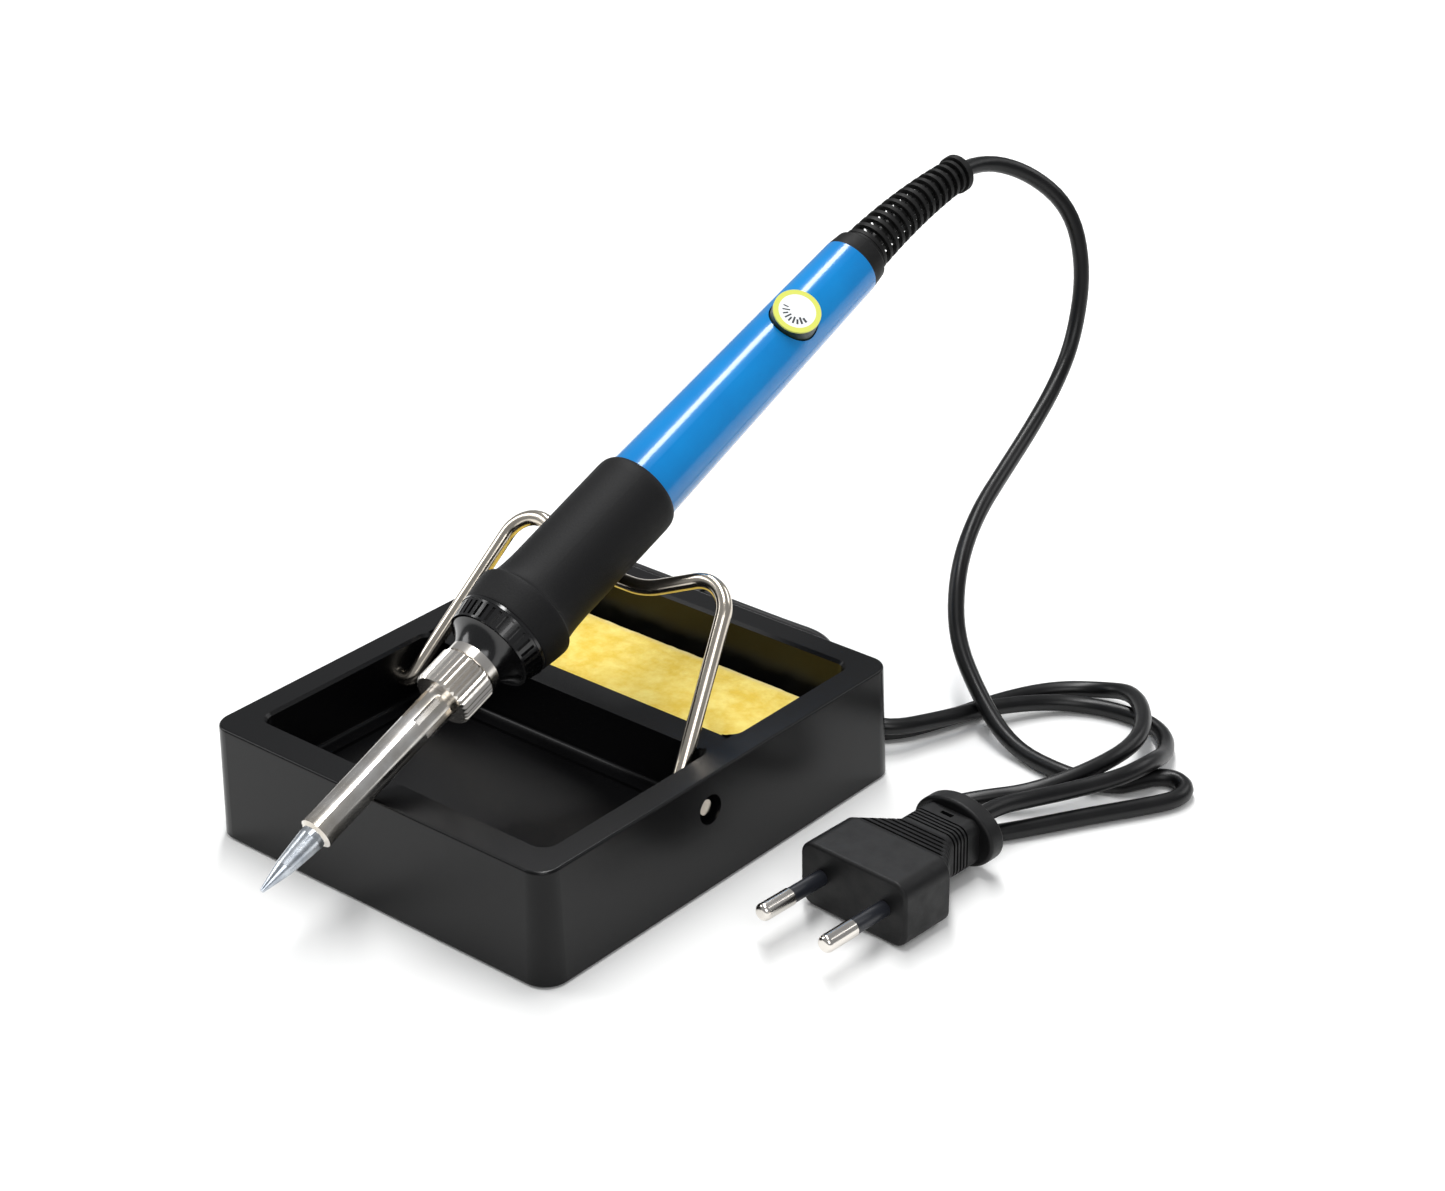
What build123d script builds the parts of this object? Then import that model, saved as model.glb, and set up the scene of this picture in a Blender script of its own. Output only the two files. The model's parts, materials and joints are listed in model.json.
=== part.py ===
from build123d import *
import os
from math import asin, atan2, cos, degrees, hypot, pi, radians, sin, tan

# Soldering iron station: an iron with a temperature knob, lying on a moulded stand with a folding
# wire holder, a wet sponge and a tip tray. Millimetres, +Z up, origin at the middle of the underside.

# ---- stand: moulded base -------------------------------------------------------------------
base_width = 100.0
base_length = 115.2
base_height = 27.7
base_flare = 0.72
base_corner = 5.0
base_wall = 2.2
rim_side = 7.3
rim_front = 8.6
rim_back = 6.8
rim_fillet = 0.6
tray_depth = 14.5
sponge_well_depth = 19.7
well_corner = 3.0
divider_front = 2.6
divider_width = 7.6
divider_drop = 1.0
well_floor_round = 1.2
well_lip = 0.7
tray_recess = 0.8
tray_recess_inset = 4.0
foot_proud = 0.5
foot_radius = 5.0
foot_thickness = 2.0
foot_inset = 15.0
pad_radius = 7.0

# ---- stand: wire holder --------------------------------------------------------------------
wire_radius = 1.8
pivot_setback = 8.6
pivot_drop = 8.2
pivot_clearance = 0.05
pivot_window_radius = 3.45
pivot_window_depth = 3.5
wire_end_recess = 1.2
leg_foot_inset = 2.4
leg_foot_bend = 2.6
leg_lean_in = 9.7
leg_reach = 49.0
shoulder_bend = 7.5
saddle_half = 10.0
saddle_bend = 18.0
rest_gap = 0.05
clear_gap = 0.3

# ---- sponge --------------------------------------------------------------------------------
sponge_side_gap = 1.7
sponge_front_gap = 1.3
sponge_back_gap = 2.5
sponge_thickness = 10.0
sponge_edge = 1.0
sponge_lift_gap = 2.0

# ---- iron: stations along its axis from the tip, and radii ---------------------------------
iron_slope = 21.54
iron_roll = 33.0
tip_to_rim = 33.3
tip_radius = 0.45
tip_break = 6.8
tip_mouth = 15.0
tip_bore_start = 24.0
barrel_radius = 3.875
barrel_wall = 0.9
tip_shank_radius = barrel_radius - barrel_wall - 0.125
tip_break_radius = tip_shank_radius - 0.85
tip_bore_radius = tip_shank_radius - 0.6
heater_radius = tip_bore_radius - 0.3
barrel_mouth = 16.9
barrel_roll = 0.6
slot_start = 48.5
slot_end = 56.5
slot_width = 1.7
slot_count = 6
nut_front = 57.6
nut_wall = 2.4
nut_radius = 7.0
nut_length = 9.2
knurl_count = 34
knurl_depth = 0.55
flange_thickness = 1.3
flange_radius = 5.5
axial_gap = 0.1
thread_radius = 6.0
thread_pitch = 1.0
thread_turns = 6
thread_clearance = 0.08
sleeve_collar_radius = 6.5
sleeve_collar_end = 69.4
sleeve_tail_radius = 5.2
sleeve_tail_end = 84.0
sleeve_bore_radius = 3.2
heater_end = 88.0
heater_collar_start = 70.5
heater_collar_end = 81.0
neck_front_radius = 6.25
neck_rear_radius = 9.75
ring_front = 73.6
ring_rear = 78.1
ring_front_radius = 10.35
ring_rear_radius = 11.25
ring_rib_count = 40
ring_rib_depth = 0.75
ring_rib_gap = 0.7
grip_front = 78.8
grip_front_radius = 11.5
grip_bulge_at = 85.9
grip_bulge_radius = 12.3
grip_waist_at = 97.0
grip_radius = 10.45
grip_round = 3.4
grip_rear = 127.3
handle_front_radius = 9.1
handle_rear_radius = 7.55
handle_wall = 1.6
handle_end = 208.1
knob_at = 183.3
knob_radius = 5.65
knob_proud = 2.0
knob_base = 3.0
knob_gap = 0.3
dial_radius = 4.4
dial_thickness = 0.5
shaft_radius = 1.5
shaft_clearance = 0.05
board_start = 137.0
board_end = 195.0
board_width = 10.6
board_thickness = 1.6
board_drop = 3.0
rail_thickness = 1.2
rail_hold = 1.2
collar_end = 213.0
collar_radius = 7.5
collar_rear_radius = 7.0
collar_spigot = 7.0
collar_bore = 4.1
collar_edge = 0.6
relief_length = 39.0
relief_droop = 15.0
relief_front_radius = 6.0
relief_rear_radius = 4.1
relief_rings = 14
relief_ring_thickness = 1.05
relief_ring_wall = 1.1
relief_root = 1.0
relief_flange_radius = 4.75
relief_flange_thickness = 1.7
rib_depth = 1.0
rib_bite = 0.15
rib_width = 1.3
rib_count = 4

# ---- cord and plug -------------------------------------------------------------------------
cord_radius = 2.0
cord_clamp_at = 202.5
hank_left = -62.0
hank_right = -4.0
hank_front = 61.6
hank_bend = 12.0
hank_lift = 0.8
hank_layers = 2
hank_step = 4.3
tie_width = 6.0
tie_thickness = 0.7
tie_at = -33.0
plug_tips = (82.1, -18.1)
plug_turn = -3.4
plug_axis_height = 8.5
pin_spacing = 17.5
pin_radius = 2.0
pin_length = 19.0
pin_bare = 9.0
pin_sleeve_radius = 1.8
pin_core_radius = 1.4
pin_root = 6.0
plug_width = 29.5
plug_above = 7.3
plug_below = 8.2
plug_block = 14.0
plug_taper = 9.0
plug_neck_width = 15.0
plug_neck_height = 11.0
plug_neck = 9.6
plug_flange_width = 22.0
plug_flange_height = 15.6
plug_flange = 4.4
plug_edge = 0.8
plug_groove_depth = 0.5
plug_groove_count = 5
taper_groove = 0.8
neck_groove = 0.5

# ---- worked out from the sizes above -------------------------------------------------------
front_y = -base_length / 2
back_y = base_length / 2
tray_floor = base_height - tray_depth
sponge_floor = base_height - sponge_well_depth
divider_top = base_height - divider_drop
divider_back = divider_front + divider_width
well_half = base_width / 2 - rim_side
tray_front = front_y + rim_front
well_back = back_y - rim_back
pivot_y = divider_front - pivot_setback
pivot_z = base_height - pivot_drop
edge_distance = hypot(divider_front - pivot_y, divider_top - pivot_z)
edge_angle = degrees(atan2(divider_front - pivot_y, divider_top - pivot_z))
holder_lean = edge_angle - degrees(asin((wire_radius + rest_gap) / edge_distance))
slope = radians(iron_slope)
rim_touch_z = base_height + (barrel_radius + clear_gap) / cos(slope)
tip_y = front_y - tip_to_rim * cos(slope)
tip_z = rim_touch_z - tip_to_rim * sin(slope)
roll = radians(iron_roll)
knob_out = Vector(sin(roll), -cos(roll) * sin(slope), cos(roll) * cos(slope))
iron_frame = Plane(
    origin=(0, tip_y, tip_z),
    x_dir=knob_out,
    z_dir=(0, cos(slope), sin(slope)),
)
lean = radians(holder_lean)
axis_above_pivot = cos(slope) * (tip_z - pivot_z) - sin(slope) * (tip_y - pivot_y)
saddle_height = (axis_above_pivot - grip_radius - wire_radius - clear_gap) / cos(slope + lean)
sleeve_front = nut_front + nut_wall + 2 * axial_gap + flange_thickness
nut_rear = nut_front + nut_length
flare_rate = (handle_front_radius - handle_rear_radius) / (handle_end - grip_rear)


def place(shape):
    """Carry a piece from the iron's own frame to its place on the stand."""
    return iron_frame.location * shape


def turned(points):
    """Solid of revolution about the iron's axis from (station, radius) points."""
    outline = Polyline([(radius, 0, station) for station, radius in points], close=True)
    return revolve(make_face(outline), Axis.Z, 360)


def slab(size_x, size_y, size_z, at):
    """Box standing on its middle point."""
    return Pos(*at) * Box(size_x, size_y, size_z, align=(Align.CENTER, Align.CENTER, Align.MIN))


def save(shape, name):
    """Write one node."""
    export_step(shape, f"parts/{name}.step")
    print(name, round(shape.volume, 1))


def corner_radii(points):
    """Radius of each bend of a cord: as wide as its shorter run lets it be."""
    radii = []
    for before, here, after in zip(points, points[1:], points[2:]):
        run_in = Vector(*here) - Vector(*before)
        run_out = Vector(*after) - Vector(*here)
        turn = radians(run_in.get_angle(run_out))
        radii.append(0.45 * min(run_in.length, run_out.length) / tan(turn / 2))
    return radii


def cord_tube(points, label):
    """Round cord of straight runs and tangent arcs through hand-chosen corners."""
    radii = corner_radii(points)
    path = FilletPolyline(*points, radius=radii)
    tube = sweep(Plane(path @ 0, z_dir=path % 0) * Circle(cord_radius), path=path)
    print(label, "length", round(path.length, 1), "radii", [round(radius) for radius in radii])
    print(label, "volume over section x length", round(
        tube.volume / (pi * cord_radius**2 * path.length), 4))
    return tube


# ---- stand ---------------------------------------------------------------------------------
def flared_block(inset, bottom, top):
    """Block with the base's outline, taper and corners, drawn in by an inset."""
    def outline(z):
        grow = base_flare * (base_height - z) / base_height
        return Pos(0, 0, z) * RectangleRounded(
            base_width + 2 * (grow - inset),
            base_length + 2 * (grow - inset),
            max(base_corner + grow - inset, 0.8),
        )
    return loft([outline(bottom), outline(top)])


def well(front, back, floor, grow=0.0):
    """Straight-walled pocket that opens upwards, or the block that its wall needs."""
    width = 2 * (well_half + grow)
    length = back - front + 2 * grow
    block = extrude(
        Pos(0, (front + back) / 2, floor - grow)
        * RectangleRounded(width, length, well_corner + grow),
        base_height - floor + grow,
    )
    return block


def pocket(front, back, floor):
    """Well to cut away, with a rounded foot and a chamfered lip."""
    block = well(front, back, floor)
    block = fillet(block.faces().sort_by(Axis.Z)[0].edges(), well_floor_round)

    def outline(grow, z):
        return Pos(0, (front + back) / 2, z) * RectangleRounded(
            2 * (well_half + grow), back - front + 2 * grow, well_corner + grow)
    return block + loft([outline(0, base_height - well_lip), outline(well_lip, base_height)])


def base_shell():
    """Hollow-backed moulding with a tip tray, a sponge well and two pivot bosses."""
    bottom = foot_proud
    shell = flared_block(0, bottom, base_height)
    top_edges = shell.faces().sort_by(Axis.Z)[-1].edges()
    shell = fillet(top_edges, rim_fillet)
    hollow = flared_block(base_wall, bottom, divider_top - base_wall)
    hollow -= well(tray_front, divider_front, tray_floor, base_wall)
    hollow -= well(divider_back, well_back, sponge_floor, base_wall)
    inner_face = well_half + base_wall / 2
    outer_face = base_width / 2 - base_wall / 2
    for side in (-1, 1):
        boss_middle = side * (inner_face + outer_face) / 2
        hollow -= Pos(boss_middle, pivot_y, pivot_z) * Rot(0, 90, 0) * Cylinder(
            pivot_window_radius + base_wall, outer_face - inner_face)
    for x, y in foot_places():
        hollow -= Pos(x, y, bottom) * Cylinder(
            foot_radius + base_wall, base_height, align=(Align.CENTER, Align.CENTER, Align.MIN))
    hollow -= Pos(0, 0, bottom) * Cylinder(
        pad_radius, base_height, align=(Align.CENTER, Align.CENTER, Align.MIN))
    shell -= hollow
    shell += Cylinder(pad_radius, tray_floor, align=(Align.CENTER, Align.CENTER, Align.MIN))
    shell -= pocket(tray_front, divider_front, tray_floor)
    shell -= pocket(divider_back, well_back, sponge_floor)
    shell -= extrude(
        Pos(0, (tray_front + divider_front) / 2, tray_floor - tray_recess) * RectangleRounded(
            2 * (well_half - tray_recess_inset),
            divider_front - tray_front - 2 * tray_recess_inset, well_corner),
        2 * tray_recess)
    shell -= slab(
        2 * well_half, divider_width, divider_drop,
        (0, (divider_front + divider_back) / 2, divider_top),
    )
    for side in (-1, 1):
        shell -= Pos(side * base_width / 2, pivot_y, pivot_z) * Rot(0, 90, 0) * Cylinder(
            wire_radius + pivot_clearance, 4 * rim_side)
        window_middle = base_width / 2 + base_flare - pivot_window_depth / 2
        shell -= Pos(side * window_middle, pivot_y, pivot_z) * Rot(0, 90, 0) * Cylinder(
            pivot_window_radius, pivot_window_depth)
    for x, y in foot_places():
        shell -= Pos(x, y, bottom) * Cylinder(
            foot_radius, foot_thickness - foot_proud,
            align=(Align.CENTER, Align.CENTER, Align.MIN))
    return shell


def foot_places():
    """Middles of the four rubber feet."""
    x = base_width / 2 - foot_inset
    y = base_length / 2 - foot_inset
    return [(-x, -y), (x, -y), (-x, y), (x, y)]


def rubber_feet():
    """Four round feet, pressed into sockets under the base."""
    return Compound(children=[
        Pos(x, y, 0) * Cylinder(
            foot_radius, foot_thickness, align=(Align.CENTER, Align.CENTER, Align.MIN))
        for x, y in foot_places()
    ])


def wire_holder():
    """One bent wire: two pivot ends, two legs, two shoulders and a shallow saddle."""
    end = base_width / 2 - wire_end_recess
    foot = well_half - leg_foot_inset
    shoulder = foot - leg_lean_in
    half = [
        (end, 0), (foot, 0), (shoulder, leg_reach), (saddle_half, saddle_height),
    ]
    flat = half + [(-x, s) for x, s in reversed(half)]
    points = [
        (x, pivot_y + s * sin(lean), pivot_z + s * cos(lean)) for x, s in flat
    ]
    bends = [leg_foot_bend, shoulder_bend, saddle_bend]
    path = FilletPolyline(*points, radius=bends + bends[::-1])
    return sweep(Plane(path @ 0, z_dir=path % 0) * Circle(wire_radius), path=path)


def sponge():
    """Plain cellulose block in its well."""
    front = divider_back + sponge_front_gap
    back = well_back - sponge_back_gap
    block = slab(
        2 * (well_half - sponge_side_gap), back - front, sponge_thickness,
        (0, (front + back) / 2, sponge_floor),
    )
    return fillet(block.edges().filter_by(Axis.Z), 3 * sponge_edge)


# ---- hot end -------------------------------------------------------------------------------
def soldering_tip():
    """Two-stage conical bit on a long hollow shank."""
    shank_end = sleeve_front - axial_gap
    return turned([
        (0, 0), (0, tip_radius), (tip_break, tip_break_radius), (tip_mouth, tip_shank_radius),
        (shank_end, tip_shank_radius), (shank_end, tip_bore_radius),
        (tip_bore_start, tip_bore_radius), (tip_bore_start - tip_bore_radius, 0),
    ])


def barrel_tube():
    """Thin nickelled tube over the bit, rolled in at its mouth, with vent slots and a flange."""
    inner = barrel_radius - barrel_wall
    flange_start = nut_front + nut_wall + axial_gap
    flange_end = flange_start + flange_thickness
    tube = turned([
        (barrel_mouth - barrel_roll, tip_shank_radius), (barrel_mouth - barrel_roll, inner),
        (barrel_mouth, barrel_radius), (flange_start, barrel_radius),
        (flange_start, flange_radius), (flange_end, flange_radius),
        (flange_end, tip_shank_radius),
    ])
    length = slot_end - slot_start
    for index in range(slot_count):
        slot = Rot(0, 0, index * 360 / slot_count) * Pos(barrel_radius, 0, slot_start) * Box(
            2 * (barrel_radius - tip_shank_radius) - 0.1, slot_width, length,
            align=(Align.CENTER, Align.CENTER, Align.MIN))
        tube -= slot
    return tube


def knurled(body, radius, start, end, count, depth, gap):
    """Straight knurling cut round a turned piece."""
    groove = Pos(radius, 0, (start + end) / 2) * Rot(0, 0, 45) * Box(
        depth * 2**0.5, depth * 2**0.5, end - start)
    if gap > 0:
        groove = Pos(radius, 0, (start + end) / 2) * Box(2 * depth, gap, end - start)
    grooves = [Rot(0, 0, index * 360 / count) * groove for index in range(count)]
    return body - grooves


def barrel_nut():
    """Knurled union nut that clamps the barrel's flange to the threaded sleeve."""
    cavity_start = nut_front + nut_wall
    hole = barrel_radius + thread_clearance
    bore = thread_radius + thread_clearance
    chamfer_size = 0.5
    body = turned([
        (nut_front, hole), (nut_front, nut_radius - chamfer_size),
        (nut_front + chamfer_size, nut_radius), (nut_rear - chamfer_size, nut_radius),
        (nut_rear, nut_radius - chamfer_size), (nut_rear, bore), (cavity_start, bore),
        (cavity_start, hole),
    ])
    return knurled(
        body, nut_radius, nut_front - 1, nut_rear + 1, knurl_count, knurl_depth, 0)


def threaded_sleeve():
    """Steel sleeve: thread for the nut, a plain collar behind it, and a tail in the nose cap."""
    collar_start = nut_rear + clear_gap
    return turned([
        (sleeve_front, sleeve_bore_radius), (sleeve_front, thread_radius),
        (collar_start, thread_radius), (collar_start, sleeve_collar_radius),
        (sleeve_collar_end, sleeve_collar_radius), (sleeve_collar_end, sleeve_tail_radius),
        (sleeve_tail_end, sleeve_tail_radius), (sleeve_tail_end, sleeve_bore_radius),
    ])


def heater_element():
    """Ceramic heater rod with a fixing collar, running forward inside the bit's shank."""
    rod_start = tip_bore_start + 1.5
    return turned([
        (rod_start, 0), (rod_start, heater_radius), (heater_collar_start, heater_radius),
        (heater_collar_start, sleeve_bore_radius), (heater_collar_end, sleeve_bore_radius),
        (heater_collar_end, heater_radius), (heater_end, heater_radius), (heater_end, 0),
    ])


def heater_leads():
    """Two leads from the heater's rear to the front of the board."""
    lead_radius = 0.55
    spacing = 2.2
    board_face = board_thickness - board_drop
    leads = []
    for side in (-1, 1):
        start = (0, side * spacing / 2, heater_end)
        turn_in = (0, side * spacing / 2, heater_end + 18)
        turn_out = (board_face + lead_radius, side * spacing, board_start - 16)
        end = (board_face + lead_radius, side * spacing, board_start + 4)
        path = FilletPolyline(start, turn_in, turn_out, end, radius=12)
        leads.append(sweep(Plane(path @ 0, z_dir=path % 0) * Circle(lead_radius), path=path))
    return Compound(children=leads)


# ---- iron body -----------------------------------------------------------------------------
def nose_cap():
    """Glossy neck that flares back to a ribbed ring and a thin flange."""
    flange = ring_rear_radius + 0.15
    with BuildPart() as cap:
        with BuildSketch(Plane.XZ):
            with BuildLine():
                Polyline(
                    (sleeve_tail_radius, sleeve_collar_end),
                    (neck_front_radius, sleeve_collar_end),
                )
                ThreePointArc(
                    (neck_front_radius, sleeve_collar_end),
                    (0.62 * neck_front_radius + 0.38 * neck_rear_radius,
                     0.45 * sleeve_collar_end + 0.55 * ring_front),
                    (neck_rear_radius, ring_front),
                )
                Polyline(
                    (neck_rear_radius, ring_front), (ring_front_radius, ring_front),
                    (ring_rear_radius, ring_rear), (flange, ring_rear), (flange, grip_front),
                    (sleeve_tail_radius, grip_front), (sleeve_tail_radius, sleeve_collar_end),
                )
            make_face()
        revolve(axis=Axis.Z, revolution_arc=360)
    tilt = degrees(atan2(ring_rear_radius - ring_front_radius, ring_rear - ring_front))
    middle_radius = (ring_front_radius + ring_rear_radius) / 2
    middle = (ring_front + ring_rear) / 2
    groove = Pos(middle_radius, 0, middle) * Rot(0, tilt, 0) * Box(
        2 * ring_rib_depth, ring_rib_gap, ring_rear - ring_front - 0.9)
    grooves = [Rot(0, 0, i * 360 / ring_rib_count) * groove for i in range(ring_rib_count)]
    return cap.part - grooves


def grip_sleeve():
    """Soft grip: a bulge behind the nose cap that runs back into a plain round sleeve."""
    spigot = handle_front_radius - handle_wall / 2
    with BuildPart() as grip:
        with BuildSketch(Plane.XZ):
            with BuildLine():
                Line((spigot, grip_front), (grip_front_radius - 0.6, grip_front))
                Spline(
                    (grip_front_radius - 0.6, grip_front),
                    (grip_front_radius, grip_front + 0.8),
                    (grip_bulge_radius, grip_bulge_at),
                    (grip_radius, grip_waist_at),
                    tangents=((1, 0), (0, 1)),
                )
                Line((grip_radius, grip_waist_at), (grip_radius, grip_rear - grip_round))
                Spline(
                    (grip_radius, grip_rear - grip_round),
                    (handle_front_radius, grip_rear),
                    tangents=((0, 1), (-1, 0.3)),
                )
                Polyline(
                    (handle_front_radius, grip_rear), (spigot, grip_rear), (spigot, grip_front),
                )
            make_face()
        revolve(axis=Axis.Z, revolution_arc=360)
    return grip.part


def handle_radius(station):
    """Outside radius of the tapered handle at a station."""
    return handle_front_radius - flare_rate * (station - grip_rear)


def handle_tube():
    """Tapered hollow handle with a spigot under the grip and a round window for the knob."""
    spigot = handle_front_radius - handle_wall / 2
    inner_front = handle_front_radius - handle_wall - 0.4
    tube = turned([
        (grip_front, inner_front), (grip_front, spigot), (grip_rear, spigot),
        (grip_rear, handle_front_radius), (handle_end, handle_rear_radius),
        (handle_end, handle_rear_radius - handle_wall), (grip_rear, inner_front),
    ])
    rail = slab(rail_thickness, 4 * handle_front_radius, board_end - board_start,
                (-board_drop - rail_thickness / 2, 0, board_start))
    rail -= slab(2 * rail_thickness, board_width - 2 * rail_hold, board_end - board_start,
                 (-board_drop - rail_thickness / 2, 0, board_start))
    core = turned([
        (grip_rear, 0), (grip_rear, inner_front + 0.3),
        (handle_end, handle_rear_radius - handle_wall + 0.3), (handle_end, 0),
    ])
    tube += rail & core
    window = Pos(0, 0, knob_at) * Rot(0, 90, 0) * Cylinder(
        knob_radius + knob_gap, 2 * handle_front_radius,
        align=(Align.CENTER, Align.CENTER, Align.MIN))
    return tube - window


def knob_pieces():
    """Knob: dark body with its stem, a pale ring and a white dial face set in its top."""
    face = handle_radius(knob_at) + knob_proud
    stem_end = pot_top() - 2.0

    def disc(radius, low, high):
        return Pos(low, 0, knob_at) * Rot(0, 90, 0) * Cylinder(
            radius, high - low, align=(Align.CENTER, Align.CENTER, Align.MIN))

    seat = face - dial_thickness
    body = disc(knob_radius, knob_base, seat) + disc(shaft_radius, stem_end, knob_base)
    ring = disc(knob_radius, seat, face) - disc(dial_radius, seat, face)
    dial = disc(dial_radius, seat, face)
    return body, ring, dial


def pot_top():
    """Height of the potentiometer's top above the iron's axis, towards the knob."""
    return knob_base - knob_gap


def board_face():
    """Upper face of the circuit board."""
    return board_thickness - board_drop


def circuit_board():
    """Thin board lying below the axis, seen from the knob."""
    return slab(
        board_thickness, board_width, board_end - board_start,
        (board_thickness / 2 - board_drop, 0, board_start),
    )


def potentiometer():
    """Square trimmer under the knob, bored for the knob's stem."""
    size = 9.5
    body = slab(
        pot_top() - board_face(), size, size,
        ((pot_top() + board_face()) / 2, 0, knob_at - size / 2),
    )
    return body - Pos(board_face(), 0, knob_at) * Rot(0, 90, 0) * Cylinder(
        shaft_radius + shaft_clearance, 20, align=(Align.CENTER, Align.CENTER, Align.MIN))


def board_parts():
    """Triac, film capacitor and three resistors standing on the board."""
    face = board_face()
    triac = slab(4.2, 9.6, 9.0, (face + 2.1, 0, board_start + 9))
    capacitor = slab(5.0, 6.0, 11.0, (face + 2.5, 0, board_start + 21))
    resistor_radius = 1.1
    resistors = Compound(children=[
        Pos(face + resistor_radius, 0, board_start + 34 + 2.6 * i) * Rot(90, 0, 0)
        * Cylinder(resistor_radius, 6.0)
        for i in range(3)
    ])
    return triac, capacitor, resistors


def end_collar():
    """Black end collar with a spigot in the handle and a seat for the strain relief."""
    spigot = handle_rear_radius - handle_wall
    return turned([
        (handle_end - collar_spigot, collar_bore), (handle_end - collar_spigot, spigot),
        (handle_end, spigot), (handle_end, collar_radius),
        (collar_end - collar_edge, collar_rear_radius),
        (collar_end, collar_rear_radius - collar_edge), (collar_end, collar_bore),
    ])


def relief_arc():
    """Centre line of the strain relief, which droops a little under the cord's weight."""
    bend = relief_length / radians(relief_droop)
    steep = slope
    centre = Vector(0, bend * sin(steep), -bend * cos(steep))
    start = iron_frame.from_local_coords(Vector(0, 0, collar_end))

    def at(share):
        angle = steep - radians(relief_droop) * share
        offset = Vector(0, -bend * sin(angle), bend * cos(angle))
        return start + centre + offset

    return ThreePointArc(at(0), at(0.5), at(1))


def relief_radius(share):
    """Outer radius of the strain relief's rings, a share of the way along it."""
    return relief_front_radius + (relief_rear_radius - relief_front_radius) * share


def strain_relief():
    """Springy open cage: thin rings on four tapering ribs, a root in the collar, an end flange."""
    arc = relief_arc()
    root_radius = relief_front_radius - rib_bite
    relief = place(turned([
        (handle_end - collar_spigot, cord_radius), (handle_end - collar_spigot, collar_bore),
        (collar_end, collar_bore), (collar_end, root_radius),
        (collar_end + relief_root, root_radius), (collar_end + relief_root, cord_radius),
    ]))

    def station(share):
        return Plane(arc @ share, x_dir=(1, 0, 0), z_dir=arc % share)

    for index in range(rib_count):
        turn = Rot(0, 0, 45 + index * 360 / rib_count)
        relief += loft([
            station(share) * turn
            * Pos(relief_radius(share) - relief_ring_wall - rib_depth / 2 + rib_bite, 0)
            * Rectangle(rib_depth, rib_width)
            for share in (0, 0.5, 1)
        ])
    spacing = (relief_length - relief_flange_thickness) / relief_rings
    for index in range(relief_rings):
        share = (0.5 + (index + 0.2) * spacing) / relief_length
        radius = relief_radius(share)
        ring = Circle(radius) - Circle(radius - relief_ring_wall)
        relief += extrude(station(share) * ring, relief_ring_thickness)
    flange = Circle(relief_flange_radius) - Circle(cord_radius)
    relief += extrude(station(1) * flange, -relief_flange_thickness)
    return relief


def inner_cord():
    """Cord inside the relief and the handle's rear, up to just past the clamp."""
    arc = relief_arc()
    start = iron_frame.from_local_coords(Vector(0, 0, cord_clamp_at - 5))
    straight = Line(start, arc @ 0)
    path = Wire([straight, arc])
    return sweep(Plane(path @ 0, z_dir=path % 0) * Circle(cord_radius), path=path)


def core_wires():
    """Two insulated cores from the cord's end to pads at the rear of the board."""
    core_radius = 0.6
    cores = []
    for side in (-1, 1):
        y = side * (core_radius + 0.2)
        start = (0, y, cord_clamp_at - 5)
        middle = (0, y, cord_clamp_at - 7)
        drop = (board_face() + core_radius, y * 2, board_end - 4)
        end = (board_face() + core_radius, y * 2, board_end - 6.5)
        path = FilletPolyline(start, middle, drop, end, radius=1.2)
        cores.append(sweep(Plane(path @ 0, z_dir=path % 0) * Circle(core_radius), path=path))
    return Compound(children=cores)


# ---- cord, hank and plug -------------------------------------------------------------------
def iron_side_route():
    """Corners from the strain relief through the air and the loops to the hank's front run."""
    arc = relief_arc()
    leave = arc @ 1
    onward = leave + (arc % 1) * 8.5
    return [
        tuple(leave), tuple(onward),
        (7.0, 167.0, 104.0), (15.0, 174.5, 94.0), (19.5, 174.5, 79.0), (20.5, 170.0, 63.0),
        (22.0, 161.0, 54.0), (24.5, 146.5, 47.0), (28.0, 130.5, 42.5), (32.0, 113.5, 38.0),
        (37.0, 99.5, 30.5), (43.0, 91.0, 18.5), (54.0, 85.5, 9.0), (67.5, 80.0, 2.0),
        (84.5, 77.5, 2.0), (96.0, 80.5, 2.0), (101.5, 90.5, 2.0), (108.5, 88.5, 2.0),
        (106.5, 78.5, 2.0), (99.5, 68.0, 2.0), (91.0, 54.0, 2.0), (83.5, 41.5, 2.0),
        (71.0, 42.5, 2.0), (74.5, 53.0, 2.0), (85.5, 62.5, 5.0), (92.5, 76.5, 7.0),
        (94.0, 92.0, 7.4), (88.0, 104.5, 6.8), (78.5, 114.0, 5.6), (69.0, 115.5, 2.4),
        (59.5, 109.5, 2.0),
        (53.0, 98.0, 2.0), (48.0, 81.5, 2.0), (41.5, 66.5, 2.0), (28.0, 61.6, 2.4),
        (-4.0, 61.6, 2.8),
    ]


def plug_side_route():
    """Corners from the hank's rear run, out beside the first strand, to the plug."""
    plug = plug_plane()
    return [
        (-4.0, 85.6, 7.1), (9.0, 85.6, 7.2), (20.0, 73.0, 7.2), (29.0, 61.0, 7.2),
        (44.5, 61.0, 6.8), (50.0, 76.0, 5.0), (55.0, 89.0, 4.4), (61.5, 101.0, 2.8),
        (69.0, 107.5, 2.0), (81.0, 110.5, 2.0), (91.0, 108.0, 2.0), (97.5, 99.5, 2.8),
        (101.0, 87.5, 7.2), (100.0, 77.5, 7.6), (94.0, 67.0, 6.8), (88.5, 55.5, 7.4),
        tuple(plug.from_local_coords(Vector(0, plug_end() + 9.5, 0))), tuple(plug_exit()),
    ]


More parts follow.
